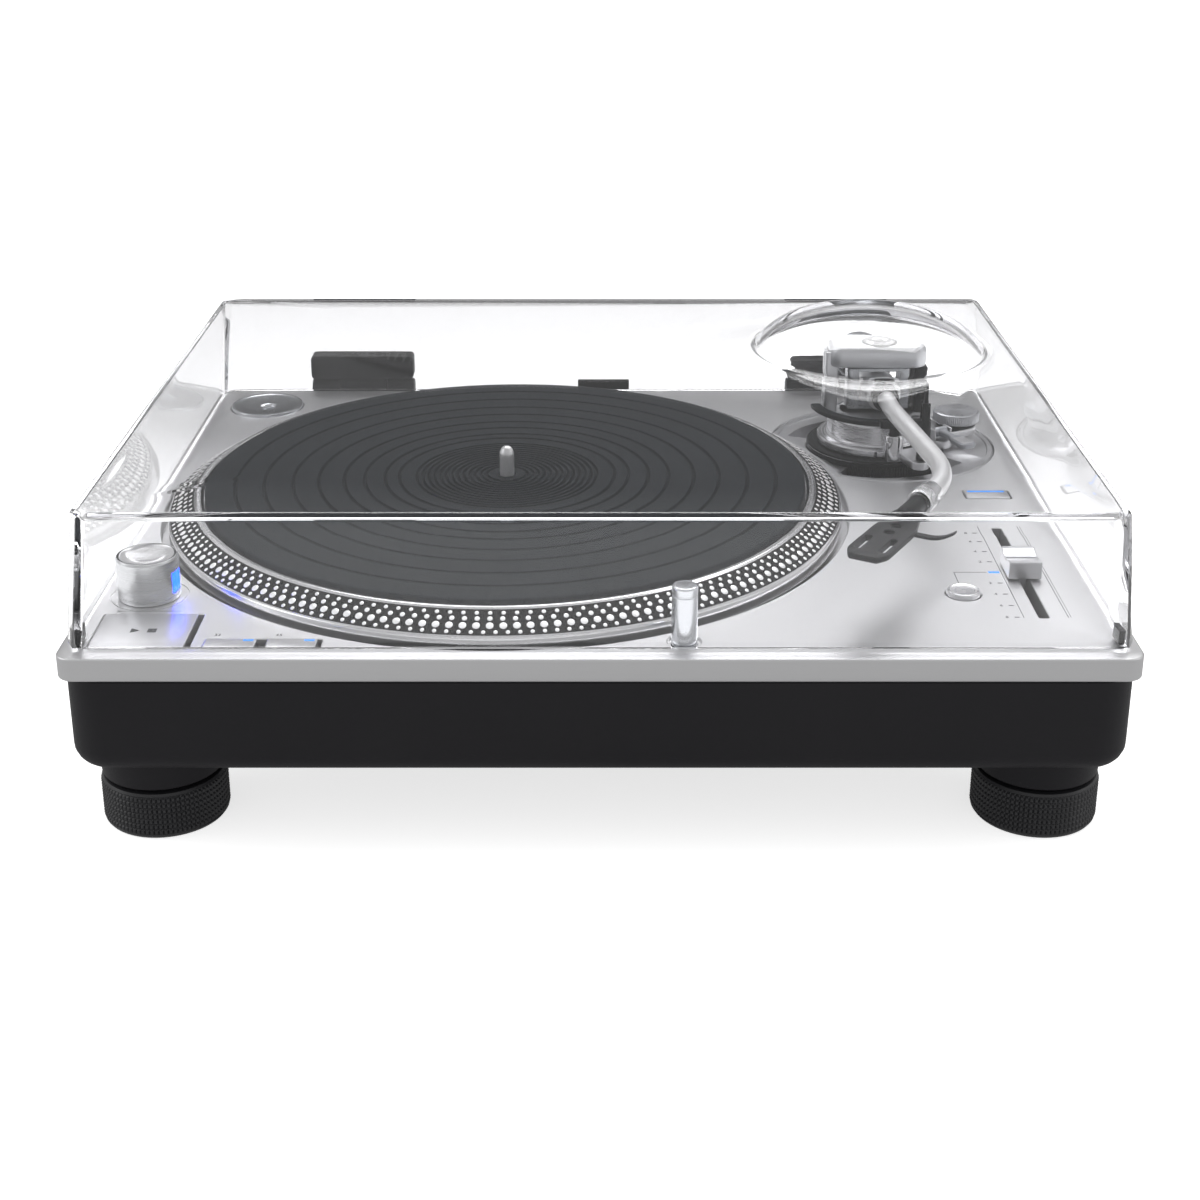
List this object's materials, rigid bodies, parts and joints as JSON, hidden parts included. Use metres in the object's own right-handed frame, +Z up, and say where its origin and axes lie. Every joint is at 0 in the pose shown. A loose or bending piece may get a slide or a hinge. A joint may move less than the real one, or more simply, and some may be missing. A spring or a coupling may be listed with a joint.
{
  "type": "turntable record player",
  "caption": "Direct-drive record player: silver deck on a black plinth, dotted platter, S-shaped tonearm and hinged clear cover.",
  "frame": {"origin": "on the surface it stands on, under the middle of its outline", "axes": "+X to the right seen from the front, +Y to the hinges at the back, +Z up"},
  "size_m": [0.453, 0.372, 0.1752],
  "materials": {
    "deck_aluminium": "satin brushed and anodised",
    "polished_aluminium": "polished",
    "spun_aluminium": "fine spun",
    "cast_aluminium": "bead blasted",
    "plated_steel": "zinc plated",
    "black_moulding": "fine moulded grain",
    "black_metal": "black anodised satin",
    "foot_rubber": "matt",
    "mat_rubber": "matt with turned grooves",
    "clear_acrylic": "clear polished acrylic",
    "copper_winding": "enamelled wire",
    "circuit_board": "solder resist",
    "blue_lamp": "clear lens over a blue lamp",
    "brass_plating": "plated"
  },
  "bodies": {
    "plinth": {"base_shell": "black_moulding", "deck_panel": "deck_aluminium", "motor_stator": "copper_winding", "spindle_bearing": "brass_plating", "power_supply": "circuit_board", "control_board": "circuit_board", "terminal_panel": "black_moulding", "phono_jack_left": "brass_plating", "phono_jack_right": "brass_plating", "ground_post": "brass_plating", "ac_inlet": "black_moulding", "pitch_fader_unit": "black_moulding", "strobe_tower": "spun_aluminium", "strobe_lens": "blue_lamp", "arm_plate": "deck_aluminium", "hinge_socket_left": "black_moulding", "hinge_socket_right": "black_moulding"},
    "platter": {"platter": "polished_aluminium", "platter_mat": "mat_rubber", "rotor_magnet": "black_metal", "spindle": "polished_aluminium"},
    "adapter": {"adapter_45": "spun_aluminium"},
    "cover": {"dust_cover": "clear_acrylic", "hinge_arm_left": "black_moulding", "hinge_arm_right": "black_moulding"},
    "start_stop": {"start_stop_button": "deck_aluminium"},
    "speed_33": {"speed_button_33": "deck_aluminium"},
    "speed_45": {"speed_button_45": "deck_aluminium"},
    "reset": {"reset_button": "spun_aluminium"},
    "range": {"range_button": "deck_aluminium"},
    "power": {"power_dial": "spun_aluminium"},
    "cue_light": {"cue_light": "polished_aluminium"},
    "fader": {"pitch_fader": "polished_aluminium"},
    "height_adjuster": {"height_ring": "black_metal"},
    "arm_base": {"arm_post": "cast_aluminium", "gimbal_arch": "cast_aluminium", "bearing_block": "black_metal", "arm_rest": "black_moulding"},
    "lever": {"cue_lever": "cast_aluminium"},
    "lift": {"lift_platform": "black_moulding"},
    "anti_skate": {"anti_skate_dial": "spun_aluminium"},
    "clip": {"rest_clip": "black_moulding"},
    "swing_ring": {"gimbal_ring": "cast_aluminium"},
    "tonearm": {"tonearm_housing": "polished_aluminium", "tube_collar": "black_metal", "tonearm_tube": "spun_aluminium", "headshell": "black_metal", "finger_lift": "black_metal"},
    "collar": {"locking_collar": "polished_aluminium"},
    "weight_dial": {"weight_dial": "black_metal"},
    "counterweight": {"counterweight": "spun_aluminium"},
    "stud_front_left": {"foot_stud_front_left": "plated_steel"},
    "foot_front_left": {"foot_front_left": "foot_rubber"},
    "stud_front_right": {"foot_stud_front_right": "plated_steel"},
    "foot_front_right": {"foot_front_right": "foot_rubber"},
    "stud_back_left": {"foot_stud_back_left": "plated_steel"},
    "foot_back_left": {"foot_back_left": "foot_rubber"},
    "stud_back_right": {"foot_stud_back_right": "plated_steel"},
    "foot_back_right": {"foot_back_right": "foot_rubber"}
  },
  "joints": [
    {"name": "platter_spin", "type": "hinge", "parent": "plinth", "child": "platter", "pos_m": [-0.0463, -0.0076, 0.107], "axis": [0, 0, -1], "continuous": true},
    {"name": "adapter_lift", "type": "slide", "parent": "plinth", "child": "adapter", "axis": [0, 0, 1], "range_m": [0, 0.025]},
    {"name": "cover_hinge", "type": "hinge", "parent": "plinth", "child": "cover", "pos_m": [0, 0.179, 0.096], "axis": [-1, 0, 0], "range_deg": [0, 65]},
    {"name": "start_stop_press", "type": "slide", "parent": "plinth", "child": "start_stop", "axis": [0, 0, -1], "range_m": [0, 0.0015], "stiffness_N_per_m": 500, "springref_m": -0.003},
    {"name": "speed_33_press", "type": "slide", "parent": "plinth", "child": "speed_33", "axis": [0, 0, -1], "range_m": [0, 0.0015], "stiffness_N_per_m": 500, "springref_m": -0.003},
    {"name": "speed_45_press", "type": "slide", "parent": "plinth", "child": "speed_45", "axis": [0, 0, -1], "range_m": [0, 0.0015], "stiffness_N_per_m": 500, "springref_m": -0.003},
    {"name": "reset_press", "type": "slide", "parent": "plinth", "child": "reset", "axis": [0, 0, -1], "range_m": [0, 0.0015], "stiffness_N_per_m": 500, "springref_m": -0.003},
    {"name": "range_press", "type": "slide", "parent": "plinth", "child": "range", "axis": [0, 0, -1], "range_m": [0, 0.0015], "stiffness_N_per_m": 500, "springref_m": -0.003},
    {"name": "power_turn", "type": "hinge", "parent": "plinth", "child": "power", "pos_m": [-0.2, -0.12, 0.1145], "axis": [0, 0, -1], "range_deg": [0, 60]},
    {"name": "cue_light_press", "type": "slide", "parent": "plinth", "child": "cue_light", "axis": [0, 0, -1], "range_m": [0, 0.026]},
    {"name": "pitch_slide", "type": "slide", "parent": "plinth", "child": "fader", "axis": [0, 1, 0], "range_m": [-0.04, 0.046]},
    {"name": "height_turn", "type": "hinge", "parent": "plinth", "child": "height_adjuster", "pos_m": [0.1485, 0.07349, 0.0965], "axis": [0, 0, 1], "range_deg": [0, 181]},
    {"name": "arm_raise", "type": "slide", "parent": "plinth", "child": "arm_base", "axis": [0, 0, 1], "range_m": [0, 0.006]},
    {"name": "cue_lever_lift", "type": "hinge", "parent": "arm_base", "child": "lever", "pos_m": [0.1815, 0.06349, 0.1081], "axis": [-0.891, -0.454, 0], "range_deg": [0, 50]},
    {"name": "platform_rise", "type": "slide", "parent": "arm_base", "child": "lift", "axis": [0, 0, 1], "range_m": [0, 0.0041]},
    {"name": "anti_skate_turn", "type": "hinge", "parent": "arm_base", "child": "anti_skate", "pos_m": [0.1945, 0.08749, 0.1085], "axis": [0, 0, 1], "range_deg": [0, 270]},
    {"name": "clip_fold", "type": "hinge", "parent": "arm_base", "child": "clip", "pos_m": [0.16706, 0.02911, 0.1341], "axis": [-0.0349, 0.9994, 0], "range_deg": [-40, 30]},
    {"name": "arm_swing", "type": "hinge", "parent": "arm_base", "child": "swing_ring", "pos_m": [0.1485, 0.07349, 0.1315], "axis": [0, 0, -1], "range_deg": [0, 46]},
    {"name": "arm_tilt", "type": "hinge", "parent": "swing_ring", "child": "tonearm", "pos_m": [0.1485, 0.07349, 0.1315], "axis": [-0.9994, -0.0349, 0], "range_deg": [0, 3]},
    {"name": "collar_turn", "type": "hinge", "parent": "tonearm", "child": "collar", "pos_m": [0.16285, -0.06766, 0.1315], "axis": [-0.5, -0.866, 0], "range_deg": [0, 60]},
    {"name": "weight_shift", "type": "slide", "parent": "tonearm", "child": "weight_dial", "axis": [-0.0349, 0.9994, 0], "range_m": [-0.0023, 0.0023]},
    {"name": "weight_turn", "type": "hinge", "parent": "weight_dial", "child": "counterweight", "pos_m": [0.1485, 0.07349, 0.1315], "axis": [-0.0349, 0.9994, 0], "range_deg": [-360, 360]},
    {"name": "foot_extend_front_left", "type": "slide", "parent": "plinth", "child": "stud_front_left", "axis": [0, 0, -1], "range_m": [0, 0.005]},
    {"name": "foot_turn_front_left", "type": "hinge", "parent": "stud_front_left", "child": "foot_front_left", "pos_m": [-0.1955, -0.14, 0.01], "axis": [0, 0, -1], "range_deg": [0, 1205]},
    {"name": "foot_extend_front_right", "type": "slide", "parent": "plinth", "child": "stud_front_right", "axis": [0, 0, -1], "range_m": [0, 0.005]},
    {"name": "foot_turn_front_right", "type": "hinge", "parent": "stud_front_right", "child": "foot_front_right", "pos_m": [0.1955, -0.14, 0.01], "axis": [0, 0, -1], "range_deg": [0, 1205]},
    {"name": "foot_extend_back_left", "type": "slide", "parent": "plinth", "child": "stud_back_left", "axis": [0, 0, -1], "range_m": [0, 0.005]},
    {"name": "foot_turn_back_left", "type": "hinge", "parent": "stud_back_left", "child": "foot_back_left", "pos_m": [-0.1955, 0.126, 0.01], "axis": [0, 0, -1], "range_deg": [0, 1205]},
    {"name": "foot_extend_back_right", "type": "slide", "parent": "plinth", "child": "stud_back_right", "axis": [0, 0, -1], "range_m": [0, 0.005]},
    {"name": "foot_turn_back_right", "type": "hinge", "parent": "stud_back_right", "child": "foot_back_right", "pos_m": [0.1955, 0.126, 0.01], "axis": [0, 0, -1], "range_deg": [0, 1205]}
  ],
  "couplings": [
    {"joint": "height_turn", "follows": "arm_raise", "rad_per_m": 523.6},
    {"joint": "platform_rise", "follows": "cue_lever_lift", "m_per_rad": 0.0045837},
    {"joint": "weight_shift", "follows": "weight_turn", "m_per_rad": 0.00035014},
    {"joint": "foot_turn_front_left", "follows": "foot_extend_front_left", "rad_per_m": 4188.8},
    {"joint": "foot_turn_front_right", "follows": "foot_extend_front_right", "rad_per_m": 4188.8},
    {"joint": "foot_turn_back_left", "follows": "foot_extend_back_left", "rad_per_m": 4188.8},
    {"joint": "foot_turn_back_right", "follows": "foot_extend_back_right", "rad_per_m": 4188.8}
  ]
}
